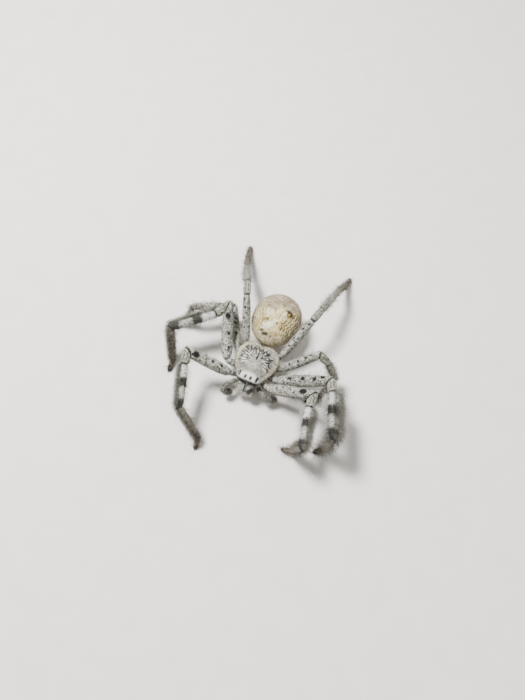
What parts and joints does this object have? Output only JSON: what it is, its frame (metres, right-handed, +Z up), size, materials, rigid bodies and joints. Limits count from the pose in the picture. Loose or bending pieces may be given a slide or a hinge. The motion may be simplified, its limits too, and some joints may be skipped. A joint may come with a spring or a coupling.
{
  "type": "huntsman spider",
  "caption": "Life-size huntsman spider model standing still, with a flat pale carapace, an oval golden abdomen and long banded legs.",
  "frame": {"origin": "on the ground, below the middle of the spider's bounding box", "axes": "+Z up, -Y toward the head, +X toward the spider's left side"},
  "size_m": [0.0502, 0.0622, 0.0143],
  "materials": {
    "carapace": "velvety grey cuticle with a cream rim and radial dark dashes",
    "abdomen": "cream to golden skin under short hair, with wavy folds and olive spots",
    "leg_skin": "pale grey skin under short hair, speckled, with black spots and dark bands",
    "leg_base": "pale mottled skin at the hips",
    "foot_skin": "grey-brown skin under a dense brown brush of hair",
    "underside": "plain grey-brown skin",
    "chelicera": "greenish white, slightly glossy cuticle with a dark violet shade",
    "fang": "dark, glossy, horn-like",
    "palp": "pale grey skin turning brown toward the tip",
    "eye": "black and glossy"
  },
  "bodies": {
    "root": {"abdomen": "abdomen", "carapace": "carapace", "chelicera_left": "chelicera", "chelicera_right": "chelicera", "eye_back_middle_left": "eye", "eye_back_middle_right": "eye", "eye_back_side_left": "eye", "eye_back_side_right": "eye", "eye_front_middle_left": "eye", "eye_front_middle_right": "eye", "eye_front_side_left": "eye", "eye_front_side_right": "eye", "fang_left": "fang", "fang_right": "fang", "leg_left_1_coxa": "leg_base", "leg_left_1_femur": "leg_skin", "leg_left_1_foot": "foot_skin", "leg_left_1_patella": "leg_skin", "leg_left_1_tibia": "leg_skin", "leg_left_2_coxa": "leg_base", "leg_left_2_femur": "leg_skin", "leg_left_2_foot": "foot_skin", "leg_left_2_patella": "leg_skin", "leg_left_2_tibia": "leg_skin", "leg_left_3_coxa": "leg_base", "leg_left_3_femur": "leg_skin", "leg_left_3_foot": "foot_skin", "leg_left_3_patella": "leg_skin", "leg_left_3_tibia": "leg_skin", "leg_left_4_coxa": "leg_base", "leg_left_4_femur": "leg_skin", "leg_left_4_foot": "foot_skin", "leg_left_4_patella": "leg_skin", "leg_left_4_tibia": "leg_skin", "leg_right_1_coxa": "leg_base", "leg_right_1_femur": "leg_skin", "leg_right_1_foot": "foot_skin", "leg_right_1_patella": "leg_skin", "leg_right_1_tibia": "leg_skin", "leg_right_2_coxa": "leg_base", "leg_right_2_femur": "leg_skin", "leg_right_2_foot": "foot_skin", "leg_right_2_patella": "leg_skin", "leg_right_2_tibia": "leg_skin", "leg_right_3_coxa": "leg_base", "leg_right_3_femur": "leg_skin", "leg_right_3_foot": "foot_skin", "leg_right_3_patella": "leg_skin", "leg_right_3_tibia": "leg_skin", "leg_right_4_coxa": "leg_base", "leg_right_4_femur": "leg_skin", "leg_right_4_foot": "foot_skin", "leg_right_4_patella": "leg_skin", "leg_right_4_tibia": "leg_skin", "palp_left": "palp", "palp_right": "palp", "pedicel": "underside", "spinnerets": "foot_skin", "sternum": "underside"}
  },
  "joints": []
}
